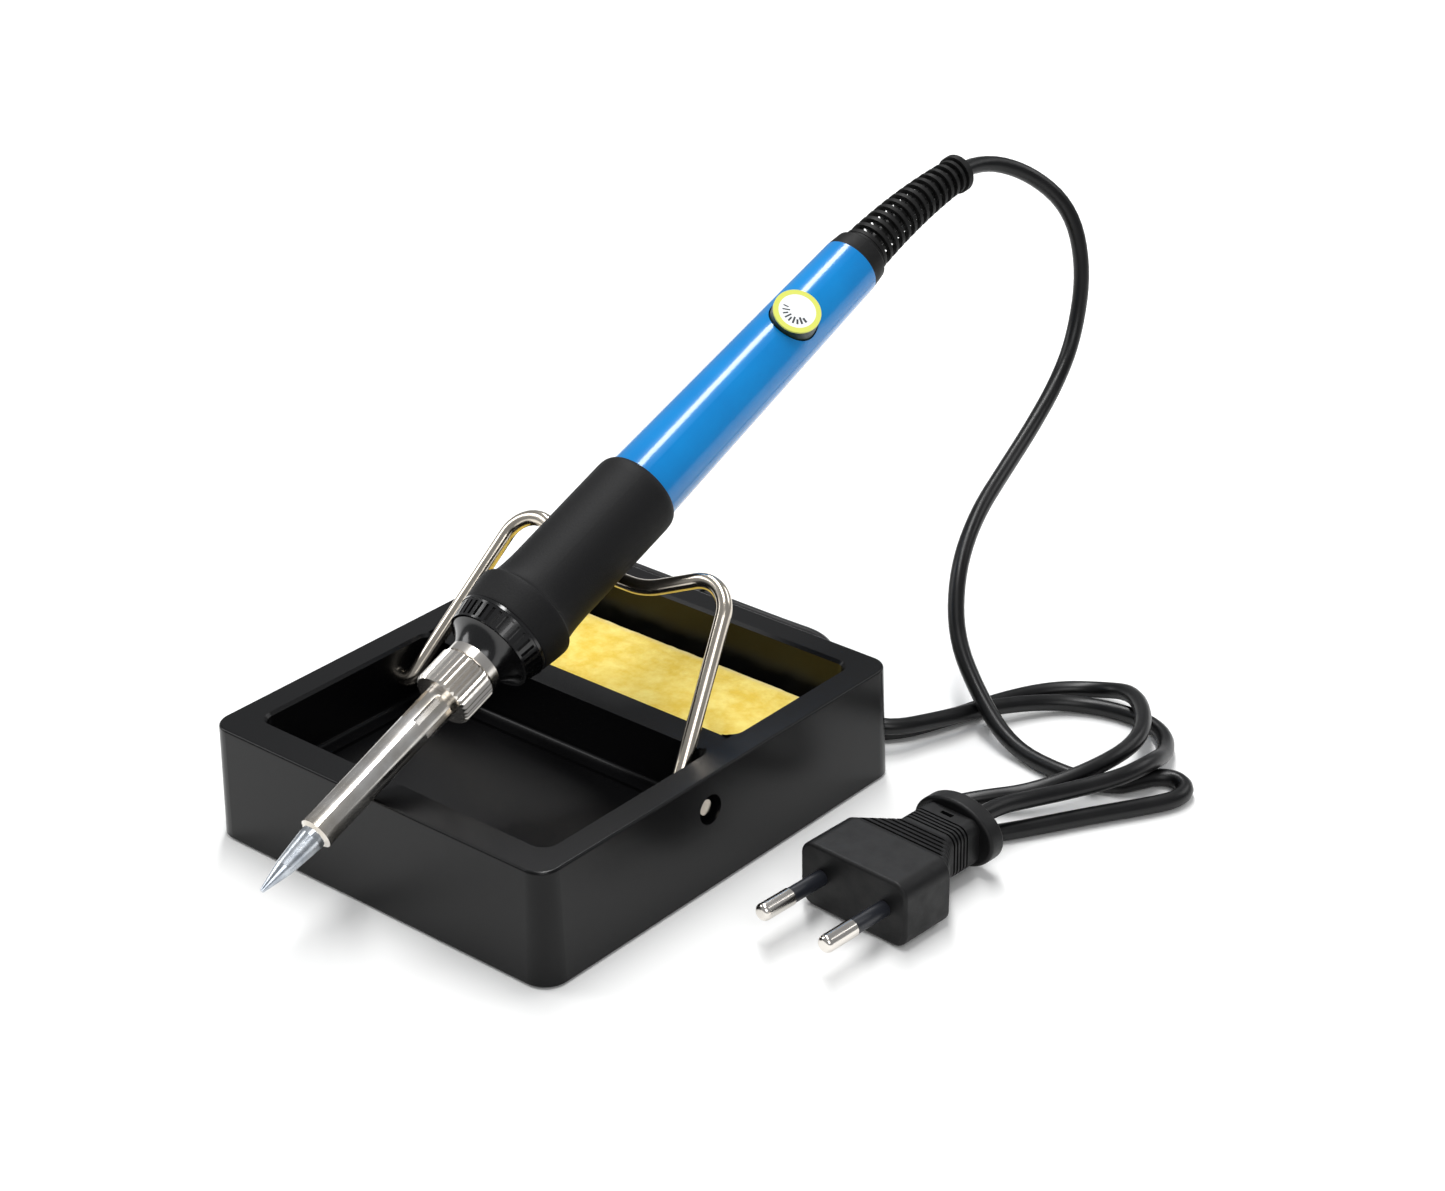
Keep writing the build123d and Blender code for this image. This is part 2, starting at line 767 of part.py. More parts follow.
def cord_hank():
    """Outer shape of the put-away turns: a flat ring with round ends."""
    length = hank_right - hank_left
    middle_x = (hank_left + hank_right) / 2
    outer = SlotCenterToCenter(length, 2 * (hank_bend + cord_radius))
    inner = SlotCenterToCenter(length, 2 * (hank_bend - cord_radius))
    height = 2 * cord_radius + hank_step * (hank_layers - 1)
    return extrude(Pos(middle_x, hank_front + hank_bend, hank_lift) * (outer - inner), height)


def hank_tie():
    """Flat tie round both runs of the hank."""
    height = 2 * cord_radius + hank_step * (hank_layers - 1)
    depth = 2 * (hank_bend + cord_radius)
    middle_y = hank_front + hank_bend
    outer = slab(
        tie_width, depth + 2 * tie_thickness, height + hank_lift + tie_thickness,
        (tie_at, middle_y, 0),
    )
    return outer - slab(2 * tie_width, depth, height, (tie_at, middle_y, hank_lift))


def plug_plane():
    """Frame of the plug: X across the pins, Y from the pin tips to the cord, Z up."""
    turn = radians(plug_turn)
    return Plane(
        origin=(plug_tips[0], plug_tips[1], plug_axis_height),
        x_dir=(cos(turn), sin(turn), 0),
        z_dir=(0, 0, 1),
    )


def plug_end():
    """Length of the plug from the pin tips to the back of its flange."""
    return pin_length + plug_block + plug_taper + plug_neck + plug_flange


def plug_exit():
    """Point where the cord leaves the plug."""
    return plug_plane().from_local_coords(Vector(0, plug_end(), 0))


def plug_section(width, low, high, corner, at):
    """Cross-section of the plug across its length."""
    return Plane(origin=(0, at, (low + high) / 2), x_dir=(1, 0, 0), z_dir=(0, 1, 0)) * (
        RectangleRounded(width, high - low, corner)
    )


def plug_groove(at, groove, width, low, high):
    """Ring to cut away from round the plug for a groove between two of its ridges."""
    around = slab(2 * plug_width, groove, 2 * plug_width, (0, at + groove / 2, -plug_width))
    core = extrude(
        plug_section(
            width - 2 * plug_groove_depth, low + plug_groove_depth, high - plug_groove_depth,
            2.0, at - groove),
        3 * groove)
    return around - core


def plug_body():
    """Moulded Europlug body: block, taper, neck and oval flange, with room for the pins."""
    face = pin_length
    shoulder = face + plug_block
    neck_start = shoulder + plug_taper
    neck_end = neck_start + plug_neck
    low, high = -plug_below, plug_above
    neck_low, neck_high = -plug_neck_height / 2, plug_neck_height / 2
    block = extrude(plug_section(plug_width, low, high, 3.5, face), plug_block)
    block = fillet(block.faces().sort_by(Axis.Y)[0].edges(), plug_edge)
    taper = loft([
        plug_section(plug_width, low, high, 3.5, shoulder),
        plug_section(plug_neck_width, neck_low, neck_high, 2.5, neck_start),
    ])
    neck = extrude(plug_section(plug_neck_width, neck_low, neck_high, 2.5, neck_start), plug_neck)
    flange = extrude(
        Plane(origin=(0, neck_end, 0), x_dir=(1, 0, 0), z_dir=(0, 1, 0))
        * Ellipse(plug_flange_width / 2, plug_flange_height / 2), plug_flange)
    flange = fillet(flange.edges(), plug_edge)
    body = block + taper + neck + flange
    taper_step = plug_taper / (plug_groove_count + 0.5)
    for index in range(plug_groove_count):
        at = shoulder + (index + 0.5) * taper_step
        share = (at - shoulder) / plug_taper
        body -= plug_groove(
            at, taper_groove, plug_width + (plug_neck_width - plug_width) * share,
            low + (neck_low - low) * share, high + (neck_high - high) * share)
        neck_at = neck_start + (index + 1) * plug_neck / (plug_groove_count + 4)
        body -= plug_groove(neck_at, neck_groove, plug_neck_width, neck_low, neck_high)
    body -= slab(3.2, 1.1, 1.5, (0, neck_end - 2.0, neck_high - 1.0))
    for x in pin_places():
        body -= along_plug(pin_core_radius, face, face + pin_root, x)
        body -= along_plug(pin_sleeve_radius, face - 1, face + 1.5, x)
    return body


def pin_places():
    """Pins' places across the plug."""
    return (-pin_spacing / 2, pin_spacing / 2)


def along_plug(radius, start, end, x):
    """Round bar along the plug between two distances from the pin tips."""
    return Pos(x, start, 0) * Rot(-90, 0, 0) * Cylinder(
        radius, end - start, align=(Align.CENTER, Align.CENTER, Align.MIN))


def plug_pins():
    """Two brass pins: a bare round-ended front and a thin core through sleeve and body."""
    pins = []
    for x in pin_places():
        front = along_plug(pin_radius, 0, pin_bare, x)
        front = fillet(front.edges().group_by(Axis.Y)[0], 1.2)
        pins.append(front + along_plug(pin_core_radius, pin_bare, pin_length + pin_root, x))
    return Compound(children=pins)


def pin_sleeves():
    """Insulating sleeves over the rear of each pin, rooted in the body."""
    return Compound(children=[
        along_plug(pin_sleeve_radius, pin_bare, pin_length + 1.5, x)
        - along_plug(pin_core_radius, pin_bare - 1, pin_length + 3, x)
        for x in pin_places()
    ])


def build_stand():
    save(base_shell(), "base_shell")
    save(rubber_feet(), "rubber_feet")
    save(wire_holder(), "wire_holder")
    save(sponge(), "sponge")


def build_hot_end():
    save(place(soldering_tip()), "soldering_tip")
    save(place(barrel_tube()), "barrel_tube")
    save(place(barrel_nut()), "barrel_nut")
    save(place(threaded_sleeve()), "threaded_sleeve")
    save(place(heater_element()), "heater_element")
    save(place(heater_leads()), "heater_leads")


def build_iron():
    body, ring, dial = knob_pieces()
    triac, capacitor, resistors = board_parts()
    save(place(nose_cap()), "nose_cap")
    save(place(grip_sleeve()), "grip_sleeve")
    save(place(handle_tube()), "handle_tube")
    save(place(body), "knob_body")
    save(place(ring), "dial_ring")
    save(place(dial), "dial_face")
    save(place(circuit_board()), "circuit_board")
    save(place(potentiometer()), "potentiometer")
    save(place(triac), "triac")
    save(place(capacitor), "capacitor")
    save(place(resistors), "resistors")
    save(place(end_collar()), "end_collar")
    save(strain_relief(), "strain_relief")
    save(inner_cord(), "inner_cord")
    save(place(core_wires()), "core_wires")


def build_cord():
    plug = plug_plane().location
    save(cord_tube(iron_side_route(), "cord_iron_side"), "cord_iron_side")
    save(cord_tube(plug_side_route(), "cord_plug_side"), "cord_plug_side")
    save(cord_hank(), "cord_hank")
    save(hank_tie(), "hank_tie")
    save(plug * plug_body(), "plug_body")
    save(plug * plug_pins(), "plug_pins")
    save(plug * pin_sleeves(), "pin_sleeves")


os.makedirs("parts", exist_ok=True)
build_stand()
build_hot_end()
build_iron()
build_cord()
fold_angle = degrees(atan2(pivot_y - tray_front, base_height - pivot_z)) - degrees(
    asin((wire_radius + clear_gap) / hypot(pivot_y - tray_front, base_height - pivot_z)))
leg_above_sponge = pivot_z + (divider_back + sponge_front_gap - pivot_y) / tan(lean)
sponge_lift = (
    leg_above_sponge - wire_radius / sin(lean) - sponge_floor - sponge_thickness - sponge_lift_gap
)
print("tip", round(tip_y, 2), round(tip_z, 2), "lean", round(holder_lean, 2))
print("saddle height", round(saddle_height, 2), "fold range", round(fold_angle + holder_lean, 1))
print("sponge lift", round(sponge_lift, 1), "knob normal", tuple(knob_out))
print("pivot", pivot_y, pivot_z, "plug exit", tuple(plug_exit()))
print("barrel travel", thread_turns * thread_pitch)
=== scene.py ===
import bpy
import bmesh
import json
from math import cos, pi, radians, sin
from mathutils import Matrix, Vector, noise


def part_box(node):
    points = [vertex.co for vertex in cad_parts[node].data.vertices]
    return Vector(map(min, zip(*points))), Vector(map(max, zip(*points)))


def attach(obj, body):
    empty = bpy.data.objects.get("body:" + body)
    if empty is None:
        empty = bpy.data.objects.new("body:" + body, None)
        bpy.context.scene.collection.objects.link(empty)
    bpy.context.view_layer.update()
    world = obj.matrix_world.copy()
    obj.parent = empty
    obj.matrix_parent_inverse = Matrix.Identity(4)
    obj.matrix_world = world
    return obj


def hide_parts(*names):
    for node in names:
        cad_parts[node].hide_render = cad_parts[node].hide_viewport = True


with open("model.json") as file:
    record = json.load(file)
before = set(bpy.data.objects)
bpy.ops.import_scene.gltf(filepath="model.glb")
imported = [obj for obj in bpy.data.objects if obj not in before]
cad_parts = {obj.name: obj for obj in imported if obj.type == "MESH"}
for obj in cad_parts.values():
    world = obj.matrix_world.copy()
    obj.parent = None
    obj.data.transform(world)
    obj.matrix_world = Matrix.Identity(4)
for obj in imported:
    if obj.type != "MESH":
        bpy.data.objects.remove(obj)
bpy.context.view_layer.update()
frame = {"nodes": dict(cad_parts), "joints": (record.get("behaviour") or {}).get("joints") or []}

mm = 0.001
nodes = frame["nodes"]
print("frame loaded:", len(nodes), "nodes")


def linear(hexColour):
    # sRGB hex to the linear values that the shader wants
    out = []
    for start in (1, 3, 5):
        value = int(hexColour[start:start + 2], 16) / 255
        out.append(value / 12.92 if value <= 0.04045 else ((value + 0.055) / 1.055) ** 2.4)
    return (*out, 1.0)


def addNode(material, kind, settings=None, links=None):
    node = material.node_tree.nodes.new(kind)
    for name, value in (settings or {}).items():
        if name in node.inputs:
            node.inputs[name].default_value = value
        else:
            setattr(node, name, value)
    for name, source in (links or {}).items():
        material.node_tree.links.new(source, node.inputs[name])
    return node


def startMaterial(name, colour, roughness, **extra):
    material = bpy.data.materials.new(name)
    material.use_nodes = True
    shader = material.node_tree.nodes["Principled BSDF"]
    shader.inputs["Base Color"].default_value = linear(colour)
    shader.inputs["Roughness"].default_value = roughness
    for socket, value in extra.items():
        shader.inputs[socket.replace("_", " ")].default_value = value
    return material, shader


def grain(material, shader, size, depth, detail=3, roughBand=None, stretch=(1, 1, 1)):
    # size is the grain's spacing in mm, depth the bump's height in mm
    place = addNode(material, "ShaderNodeTexCoord")
    turn = addNode(material, "ShaderNodeMapping", {"Scale": stretch},
                   {"Vector": place.outputs["Object"]})
    cloud = addNode(material, "ShaderNodeTexNoise",
                    {"Scale": 1 / (size * mm), "Detail": detail, "Roughness": 0.55},
                    {"Vector": turn.outputs["Vector"]})
    bump = addNode(material, "ShaderNodeBump", {"Strength": 1.0, "Distance": depth * mm},
                   {"Height": cloud.outputs["Fac"]})
    links = material.node_tree.links
    links.new(bump.outputs["Normal"], shader.inputs["Normal"])
    if roughBand:
        wide = addNode(material, "ShaderNodeTexNoise",
                       {"Scale": 1 / (9 * size * mm), "Detail": 4},
                       {"Vector": turn.outputs["Vector"]})
        spread = addNode(material, "ShaderNodeMapRange",
                         {"From Min": 0.3, "From Max": 0.7,
                          "To Min": roughBand[0], "To Max": roughBand[1]},
                         {"Value": wide.outputs["Fac"]})
        links.new(spread.outputs["Result"], shader.inputs["Roughness"])
    return cloud


def mottle(material, shader, colours, size, vector=None):
    # soft change of tone over size mm
    place = addNode(material, "ShaderNodeTexCoord")
    cloud = addNode(material, "ShaderNodeTexNoise",
                    {"Scale": 1 / (size * mm), "Detail": 5, "Roughness": 0.6},
                    {"Vector": vector or place.outputs["Object"]})
    ramp = addNode(material, "ShaderNodeValToRGB", {}, {"Fac": cloud.outputs["Fac"]})
    ramp.color_ramp.elements[0].position = 0.35
    ramp.color_ramp.elements[1].position = 0.65
    ramp.color_ramp.elements[0].color = linear(colours[0])
    ramp.color_ramp.elements[1].color = linear(colours[1])
    material.node_tree.links.new(ramp.outputs["Color"], shader.inputs["Base Color"])
    return ramp


def mouldedBlackAbs():
    # injection-moulded ABS from a polished tool: near black, a soft sheen, faint flow waves
    material, shader = startMaterial(
        "moulded black ABS", "#070708", 0.26, IOR=1.53, Specular_IOR_Level=0.2)
    grain(material, shader, 0.9, 0.002, detail=2)
    return material


def glossyBlackPhenolic():
    # pressed phenolic resin with a polished skin: deep black, sharp highlights
    material, shader = startMaterial("pressed black phenolic", "#0b0b0c", 0.16, IOR=1.6)
    grain(material, shader, 2.4, 0.004, roughBand=(0.12, 0.22))
    return material


def blueHandlePlastic():
    # gloss-moulded polycarbonate: saturated blue under a clear skin, long bright reflections
    material, shader = startMaterial(
        "gloss blue polycarbonate", "#007fc4", 0.2, IOR=1.58, Specular_IOR_Level=0.25,
        Coat_Weight=0.45, Coat_Roughness=0.05)
    grain(material, shader, 6.0, 0.006, detail=1)
    mottle(material, shader, ("#0077bd", "#0083ca"), 40)
    return material


def gripRubber():
    # spark-finished thermoplastic rubber: fine pebble skin that scatters nearly all the light
    material, shader = startMaterial(
        "moulded grip rubber", "#0d0d0e", 0.6, IOR=1.5, Specular_IOR_Level=0.22)
    grain(material, shader, 0.35, 0.06, detail=2)
    return material


def nickelPlate(name, colour, roughBand, turned=False):
    # bright nickel over steel: warm grey mirror; fine turning marks round the axis only when
    # turned is set
    material, shader = startMaterial(name, colour, roughBand[0], Metallic=1.0)
    stretch = (1, 0.35, 1) if turned else (1, 1, 1)
    grain(material, shader, 1.8, 0.001, roughBand=roughBand, stretch=stretch)
    return material


def sootedNickel():
    # thin nickel over the hot tube: silver with darker, warmer heat clouds
    material, shader = startMaterial("heat-tinted nickel", "#e2ddd6", 0.22, Metallic=1.0)
    mottle(material, shader, ("#cfc8bd", "#f0ede9"), 11)
    grain(material, shader, 1.4, 0.0012, roughBand=(0.16, 0.28))
    return material


def tinnedIron():
    # iron-plated copper bit: cool silver cone, a little scoured
    material, shader = startMaterial("iron-plated bit", "#c8ced6", 0.24, Metallic=1.0)
    mottle(material, shader, ("#a9b0b9", "#dfe4e9"), 6)
    grain(material, shader, 0.8, 0.0012, roughBand=(0.2, 0.34))
    return material


def cordPvc():
    # extruded PVC sheath: smooth black with a soft highlight along it
    material, shader = startMaterial(
        "extruded black PVC", "#060607", 0.3, IOR=1.54, Specular_IOR_Level=0.3)
    grain(material, shader, 0.8, 0.006, roughBand=(0.3, 0.42))
    return material


def plugPvc():
    # overmoulded PVC: dark grey, satin, fine spark texture
    material, shader = startMaterial(
        "overmoulded dark PVC", "#0b0b0c", 0.38, IOR=1.54, Specular_IOR_Level=0.24)
    grain(material, shader, 0.4, 0.018, roughBand=(0.42, 0.58))
    return material


def reliefPvc():
    # soft matt PVC of the strain relief and end collar
    material, shader = startMaterial(
        "soft matt PVC", "#090909", 0.5, IOR=1.52, Specular_IOR_Level=0.2)
    grain(material, shader, 0.5, 0.015, roughBand=(0.5, 0.66))
    return material


def feltedSponge():
    # cellulose sponge: pale yellow foam, open pores, paler in a band along the sides of the block
    material, shader = startMaterial("cellulose sponge", "#e7cb58", 0.92)
    shader.inputs["Subsurface Weight"].default_value = 0.12
    shader.inputs["Subsurface Radius"].default_value = (0.003, 0.002, 0.001)
    links = material.node_tree.links
    place = addNode(material, "ShaderNodeTexCoord")
    ramp = mottle(material, shader, ("#e6c44a", "#f6e07c"), 5)
    fade = addNode(material, "ShaderNodeAttribute", {"attribute_name": "cutEdge"})
    pale = addNode(material, "ShaderNodeMix",
                   {"data_type": "RGBA"}, {"Factor": fade.outputs["Fac"]})
    links.new(ramp.outputs["Color"], pale.inputs[6])
    pale.inputs[7].default_value = linear("#f6f0cf")
    links.new(pale.outputs[2], shader.inputs["Base Color"])
    pores = addNode(material, "ShaderNodeTexVoronoi",
                    {"Scale": 1 / (1.3 * mm), "Randomness": 1.0},
                    {"Vector": place.outputs["Object"]})
    fibre = addNode(material, "ShaderNodeTexNoise",
                    {"Scale": 1 / (0.9 * mm), "Detail": 6, "Roughness": 0.7},
                    {"Vector": place.outputs["Object"]})
    both = addNode(material, "ShaderNodeMath", {"operation": "ADD"},
                   {0: pores.outputs["Distance"], 1: fibre.outputs["Fac"]})
    bump = addNode(material, "ShaderNodeBump", {"Strength": 0.8, "Distance": 0.25 * mm},
                   {"Height": both.outputs["Value"]})
    links.new(bump.outputs["Normal"], shader.inputs["Normal"])
    return material


def plainPlastic(name, colour, roughness, size=1.0, depth=0.008):
    material, shader = startMaterial(name, colour, roughness, IOR=1.5)
    grain(material, shader, size, depth)
    return material


baseAbs = mouldedBlackAbs()
phenolic = glossyBlackPhenolic()
blueShell = blueHandlePlastic()
rubber = gripRubber()
barrelNickel = sootedNickel()
nutNickel = nickelPlate("bright nickel nut", "#e6e1da", (0.18, 0.3))
wireNickel = nickelPlate("polished nickel wire", "#d9d0c2", (0.14, 0.24))
pinNickel = nickelPlate("bright nickel pin", "#e4dfd8", (0.14, 0.24))
bitIron = tinnedIron()
sheath = cordPvc()
plugSkin = plugPvc()
softPvc = reliefPvc()
dialWhite = plainPlastic("white dial plastic", "#e9ecee", 0.4)
dialPale = plainPlastic("pale lime dial ring", "#d3d75c", 0.42)
dialInk = plainPlastic("black dial ink", "#2a2c30", 0.6, 0.3)
knobDark = plainPlastic("dark knob ABS", "#1a2a1c", 0.45)
pinInsulation = plainPlastic("black pin insulation", "#1c1e24", 0.35)
ceramicWhite = plainPlastic("alumina heater ceramic", "#e6e2d8", 0.6, 0.5)
glassSleeve = plainPlastic("glass-fibre lead sleeving", "#d8d2c0", 0.8, 0.4, 0.05)
boardGreen = plainPlastic("solder-masked board", "#1f6b3a", 0.4)
componentBlack = plainPlastic("moulded epoxy component", "#19191a", 0.5)
dippedBrown = plainPlastic("dipped film capacitor", "#7a2f22", 0.35)
feetRubber = plainPlastic("nitrile foot rubber", "#141414", 0.85, 0.5, 0.03)
tieBlack = plainPlastic("black nylon tie", "#101011", 0.4)

finishes = {
    "base_shell": baseAbs, "rubber_feet": feetRubber, "wire_holder": wireNickel,
    "soldering_tip": bitIron, "barrel_tube": barrelNickel, "barrel_nut": nutNickel,
    "threaded_sleeve": nutNickel, "heater_element": ceramicWhite, "heater_leads": glassSleeve,
    "nose_cap": phenolic, "grip_sleeve": rubber, "handle_tube": blueShell,
    "knob_body": knobDark, "dial_ring": dialPale, "dial_face": dialWhite,
    "circuit_board": boardGreen, "potentiometer": componentBlack, "triac": componentBlack,
    "capacitor": dippedBrown, "resistors": glassSleeve, "end_collar": softPvc,
    "strain_relief": softPvc, "inner_cord": sheath, "core_wires": dippedBrown,
    "hank_tie": tieBlack, "plug_body": plugSkin, "plug_pins": pinNickel,
    "pin_sleeves": pinInsulation,
}
for name, material in finishes.items():
    mesh = nodes[name].data
    mesh.materials.clear()
    mesh.materials.append(material)
print("materials on", len(finishes), "nodes")


cordLie = {
    "diameter": 4.0 * mm,
    "length": 1.058,
    "hankLeft": -62.0,
    "hankRight": -4.0,
    "hankFront": 61.6,
    "hankBend": 12.0,
    "hankLow": 2.8,
    "hankStep": 4.4,
    "layers": 2,
}
ironSideRoute = [
    (0.0, 147.31, 107.58), (0.0, 155.76, 108.55),
    (7.0, 167.0, 104.0), (15.0, 174.5, 94.0), (19.5, 174.5, 79.0), (20.5, 170.0, 63.0),
    (22.0, 161.0, 54.0), (24.5, 146.5, 47.0), (28.0, 130.5, 42.5), (32.0, 113.5, 38.0),
    (37.0, 99.5, 30.5), (43.0, 91.0, 18.5), (54.0, 85.5, 9.0), (67.5, 80.0, 2.0),
    (84.5, 77.5, 2.0), (96.0, 80.5, 2.0), (98.7, 85.8, 2.0), (100.9, 90.2, 2.0),
    (104.9, 92.2, 2.0),
    (109.1, 89.9, 2.0), (109.9, 84.9, 2.0), (106.5, 78.5, 2.0), (99.5, 68.0, 2.0),
    (91.0, 54.0, 2.0), (86.0, 46.3, 2.0), (81.5, 42.0, 2.0), (75.0, 41.0, 2.0),
    (70.6, 44.6, 2.0), (71.6, 50.8, 2.0), (76.5, 56.2, 3.0), (85.5, 62.5, 5.0), (92.5, 76.5, 7.0),
    (94.0, 92.0, 7.4), (88.0, 104.5, 6.8), (78.5, 114.0, 5.6), (69.0, 115.5, 2.4),
    (59.5, 109.5, 2.0), (53.0, 98.0, 2.0), (48.0, 81.5, 2.0), (41.5, 66.5, 2.0),
    (28.0, 61.6, 2.4), (-4.0, 61.6, 2.8),
]
plugSideRoute = [
    (-4.0, 85.6, 7.2), (9.0, 85.6, 7.5), (20.0, 73.0, 7.4), (29.0, 61.0, 7.2),
    (44.5, 61.0, 6.8), (50.0, 76.0, 5.0), (55.0, 89.0, 4.4), (61.5, 101.0, 2.8),
    (69.0, 107.5, 2.0), (81.0, 110.5, 2.0), (91.0, 108.0, 2.0), (97.5, 99.5, 2.8),
    (101.0, 87.5, 7.2), (100.0, 77.5, 7.6), (94.0, 67.0, 6.8), (88.5, 55.5, 7.4),
    (85.98, 47.28, 8.5), (85.42, 37.80, 8.5),
]


def hankTurns(lie):
    # points for flat turns with round ends, one layer on the other
    bend = lie["hankBend"]
    left, right = lie["hankLeft"], lie["hankRight"]
    front, back = lie["hankFront"], lie["hankFront"] + 2 * lie["hankBend"]
    middle = lie["hankFront"] + bend
    step = pi / 8
    lead = bend * sin(step) / cos(step)
    reach = bend / cos(step)
    points = []
    for layer in range(lie["layers"]):
        low = lie["hankLow"] + layer * lie["hankStep"]
        points += [(right - lead, front, low), (left + lead, front, low)]
        for index in range(4):
            angle = step * (2 * index + 1)
            points.append((left - reach * sin(angle), middle - reach * cos(angle), low))
        points += [(left + lead, back, low), (right - lead, back, low)]
        if layer + 1 < lie["layers"]:
            for index, climb in enumerate((0.0, 0.28, 0.72, 1.0)):
                angle = step * (2 * index + 1)
                points.append((right + reach * sin(angle), middle + reach * cos(angle),
                               low + climb * lie["hankStep"]))
    return points


def layCord(lie):
    route = ironSideRoute + hankTurns(lie) + plugSideRoute
    curve = bpy.data.curves.new("mainsCord", "CURVE")
    curve.dimensions = "3D"
    curve.resolution_u = 6
    curve.bevel_depth = lie["diameter"] / 2
    curve.bevel_resolution = 4
    curve.use_fill_caps = True
    spline = curve.splines.new("NURBS")
    spline.points.add(len(route) - 1)
    for point, (x, y, z) in zip(spline.points, route):
        point.co = (x * mm, y * mm, z * mm, 1.0)
    spline.order_u = 3
    spline.use_endpoint_u = True
    cord = bpy.data.objects.new("mainsCord", curve)
    bpy.context.scene.collection.objects.link(cord)
    curve.materials.append(sheath)
    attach(cord, "iron")
    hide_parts("cord_iron_side", "cord_plug_side", "cord_hank")
    return cord


layCord(cordLie)
print("cord laid:", cordLie["length"], "m")


spongeCut = {"cell": 1.6 * mm, "rag": 0.55 * mm, "swell": 0.5 * mm, "round": 1.4 * mm,
             "inset": 0.35 * mm, "paleBand": 2.6 * mm, "wobbleSize": 3.1 * mm,
             "fineSize": 1.1 * mm}


def placed(bm, name, material, body, smooth=True):
    # turn a finished bmesh into a piece at the origin
    mesh = bpy.data.meshes.new(name)
    bm.to_mesh(mesh)
    bm.free()
    mesh.materials.append(material)
    if smooth:
        for face in mesh.polygons:
            face.use_smooth = True
    piece = bpy.data.objects.new(name, mesh)
    bpy.context.scene.collection.objects.link(piece)
    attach(piece, body)
    return piece


def spongeBlock(cut):
    low, high = (Vector(corner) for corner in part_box("sponge"))
    inset = Vector((cut["inset"],) * 3)
    low, high = low + Vector((inset.x, inset.y, 0)), high - inset
    size = high - low
    bm = bmesh.new()
    bmesh.ops.create_cube(bm, size=1.0)
    bmesh.ops.scale(bm, vec=size, verts=bm.verts)
    bmesh.ops.translate(bm, vec=(low + high) / 2, verts=bm.verts)
    for axis in range(3):
        runs = [edge for edge in bm.edges
                if abs((edge.verts[0].co - edge.verts[1].co)[axis]) > 0.5 * size[axis]]
        cuts = max(3, round(size[axis] / cut["cell"]))
        bmesh.ops.subdivide_edges(bm, edges=runs, cuts=cuts, use_grid_fill=True)
    bm.normal_update()
    edgeLayer = bm.verts.layers.float.new("cutEdge")
    for vert in bm.verts:
        gaps = [min(vert.co[i] - low[i], high[i] - vert.co[i]) for i in range(2)]
        topGap = high.z - vert.co.z
        side = min(gaps)
        near = max(0.0, 1 - side / cut["paleBand"])
        wobble = noise.noise(vert.co / cut["wobbleSize"])
        fine = noise.noise(vert.co / cut["fineSize"])
        fall = cut["round"] * max(0.0, 1 - side / cut["round"]) ** 2
        isTop = vert.co.z > low.z + 0.5 * size.z
        shift = Vector((0, 0, 0))
        if isTop and topGap < 1e-6:
            shift.z = 0.35 * cut["swell"] * wobble + 0.25 * cut["swell"] * fine - 0.6 * fall
        if side < 1e-6:
            inward = Vector(((low + high) / 2 - vert.co).xy.to_3d())
            for i in range(2):
                if gaps[i] < 1e-6:
                    push = cut["rag"] * (0.9 + wobble + 0.6 * fine)
                    shift[i] = push if inward[i] > 0 else -push
        vert.co += shift
        vert[edgeLayer] = min(1.0, near * (0.75 + 0.5 * wobble))
    bmesh.ops.recalc_face_normals(bm, faces=bm.faces)
    piece = placed(bm, "spongeBlock", feltedSponge(), "sponge_block")
    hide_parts("sponge")
    return piece


spongeBlock(spongeCut)
print("sponge cut")


dialMarks = {"count": 9, "inner": 1.7 * mm, "outer": 3.5 * mm, "width": 0.42 * mm,
             "height": 0.06 * mm, "sweep": 150.0, "soften": 0.02 * mm, "shortShare": 0.72}


def dialJoints():
    # the nut joint points to the tip, the knob joint up out of the dial
    joints = {joint["name"]: joint for joint in frame["joints"]}
    return joints["nut_turn"], joints["knob_turn"]


def dialTicks(marks):
    # short raised ink strokes fanned over the half of the dial nearest the grip
    nut, knob = dialJoints()
    up = Vector(knob["axis"]).normalized()
    toTip = Vector(nut["axis"]).normalized()
    across = up.cross(toTip).normalized()
    meshTop = max(vertex.co.dot(up) for vertex in nodes["dial_face"].data.vertices)
    centre = Vector(knob["pos_m"])
    centre += up * (meshTop - centre.dot(up))
    bm = bmesh.new()
    for index in range(marks["count"]):
        share = index / (marks["count"] - 1) - 0.5
        angle = radians(marks["sweep"]) * share
        outward = toTip * cos(angle) + across * sin(angle)
        sideways = up.cross(outward)
        stroke = bmesh.ops.create_cube(bm, size=1.0)["verts"]
        length = (marks["outer"] - marks["inner"]) * (1.0 if index % 2 else marks["shortShare"])
        middle = centre + outward * (marks["outer"] - length / 2)
        turn = Matrix((outward, sideways, up)).transposed().to_4x4()
        bmesh.ops.scale(bm, vec=(length, marks["width"] * (0.7 + 0.6 * (share + 0.5)),
                                 marks["height"]), verts=stroke)
        bmesh.ops.transform(bm, matrix=Matrix.Translation(middle) @ turn, verts=stroke)
    bmesh.ops.bevel(bm, geom=bm.edges[:], offset=marks["soften"], affect="EDGES", segments=1,
                    profile=0.5, material=-1)
    return placed(bm, "dialMarks", dialInk, "knob", smooth=False)


dialTicks(dialMarks)
print("dial marked")


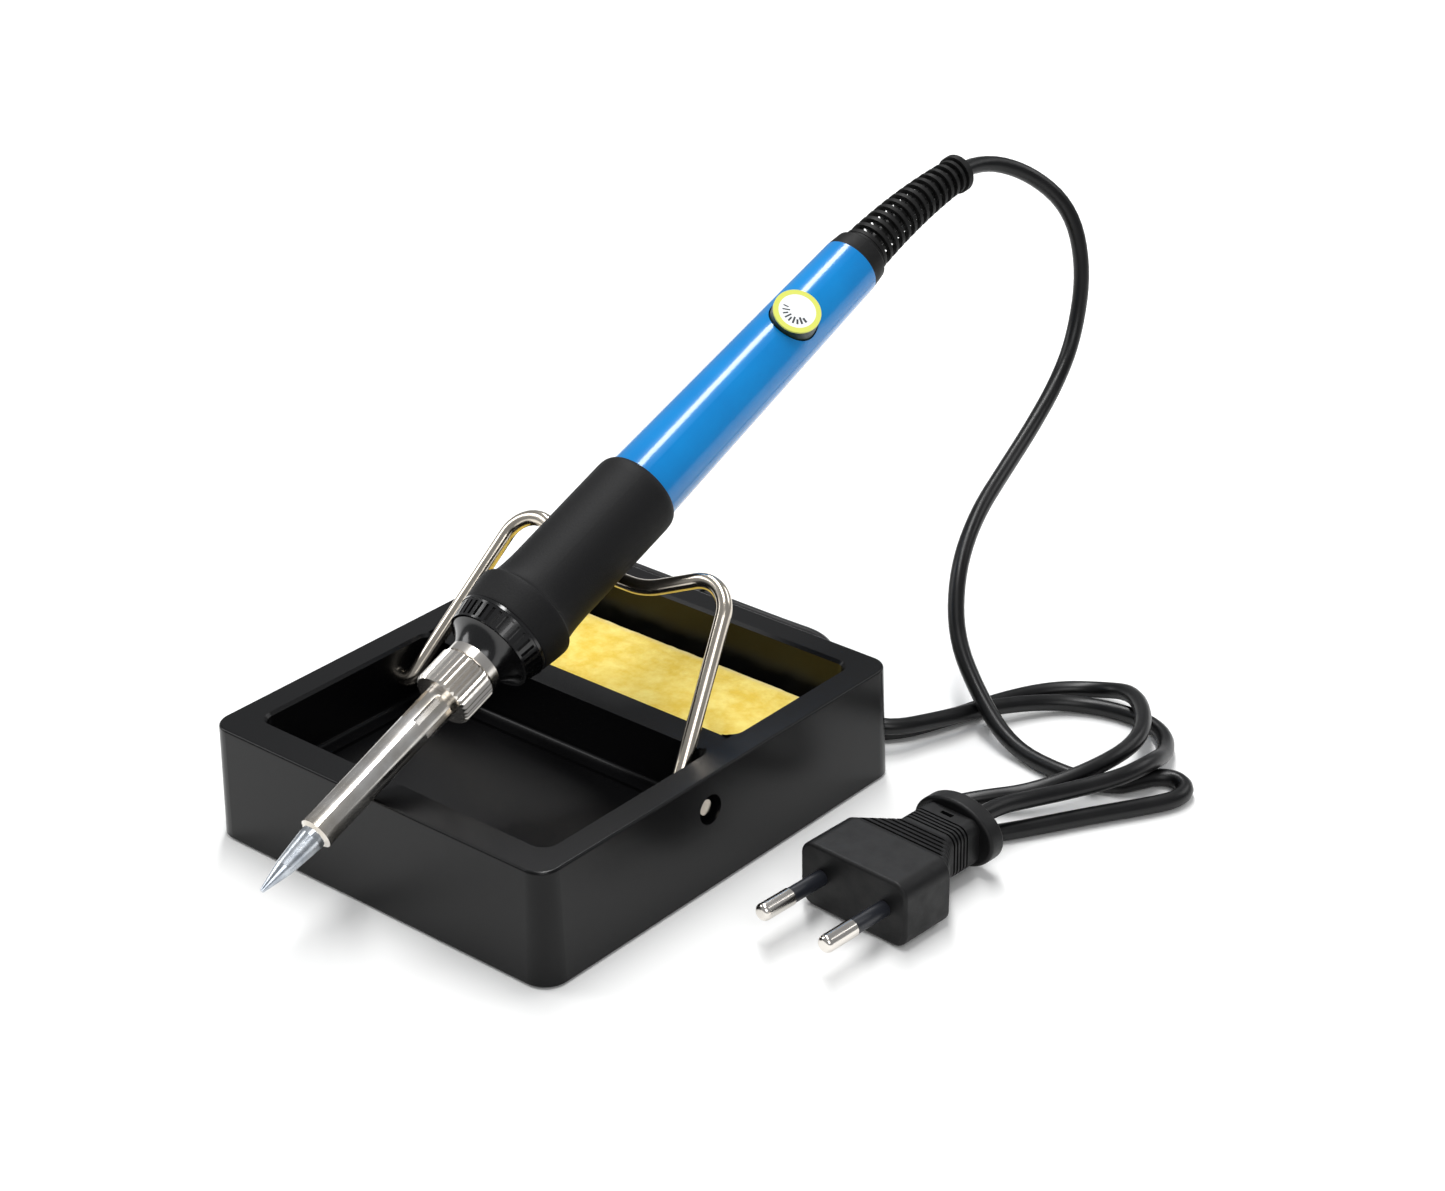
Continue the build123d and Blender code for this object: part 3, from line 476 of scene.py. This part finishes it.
studio = {
    "floorColour": "#f8f8f7", "worldColour": "#f3f5f8", "worldStrength": 0.32,
    "stripWatts": 12.0, "keyWatts": 5.0, "rimWatts": 3.0, "fillWatts": 6.0,
    "floorReach": 3.0, "floorDrop": 0.0002,
}
viewpoint = {
    "lens": 78.3, "place": (0.4262, -0.4380, 0.3687),
    "right": (0.7629, 0.6464, -0.0145), "back": (0.5786, -0.6725, 0.4614),
}


def floorPlane():
    bm = bmesh.new()
    bmesh.ops.create_grid(bm, x_segments=1, y_segments=1, size=studio["floorReach"])
    mesh = bpy.data.meshes.new("floor")
    bm.to_mesh(mesh)
    bm.free()
    material, shader = startMaterial("pale studio paper", studio["floorColour"], 0.9)
    mesh.materials.append(material)
    floor = bpy.data.objects.new("floor", mesh)
    floor.location.z = -studio["floorDrop"]
    bpy.context.scene.collection.objects.link(floor)


def softBox(name, place, target, size, watts):
    light = bpy.data.lights.new(name, "AREA")
    light.shape = "RECTANGLE"
    light.size, light.size_y = size
    light.energy = watts
    lamp = bpy.data.objects.new(name, light)
    lamp.location = place
    aim = Vector(target) - Vector(place)
    lamp.rotation_euler = aim.to_track_quat("-Z", "Y").to_euler()
    bpy.context.scene.collection.objects.link(lamp)


def studioLight():
    world = bpy.data.worlds.new("studio")
    world.use_nodes = True
    back = world.node_tree.nodes["Background"]
    back.inputs["Color"].default_value = linear(studio["worldColour"])
    back.inputs["Strength"].default_value = studio["worldStrength"]
    bpy.context.scene.world = world
    softBox("stripAbove", (-0.17, 0.25, 1.05), (-0.02, 0.1, 0.0), (0.16, 1.3),
            studio["stripWatts"])
    softBox("keyLeft", (-1.0, -0.45, 0.75), (0, 0.03, 0.04), (0.5, 0.9), studio["keyWatts"])
    softBox("rimBack", (0.45, 1.1, 0.8), (0, 0.05, 0.06), (0.9, 0.4), studio["rimWatts"])
    softBox("fillRight", (0.95, -0.75, 0.9), (0, 0.03, 0.05), (0.8, 0.8),
            studio["fillWatts"])


def standCamera():
    lens = bpy.data.cameras.new("view")
    lens.lens = viewpoint["lens"]
    lens.sensor_width = 36.0
    lens.clip_start = 0.01
    camera = bpy.data.objects.new("view", lens)
    right = Vector(viewpoint["right"]).normalized()
    back = Vector(viewpoint["back"]).normalized()
    upward = back.cross(right).normalized()
    turn = Matrix((right, upward, back)).transposed().to_4x4()
    camera.matrix_world = Matrix.Translation(viewpoint["place"]) @ turn
    bpy.context.scene.collection.objects.link(camera)
    bpy.context.scene.camera = camera
    bpy.context.scene.view_settings.view_transform = "Standard"


floorPlane()
studioLight()
standCamera()
print("studio set")
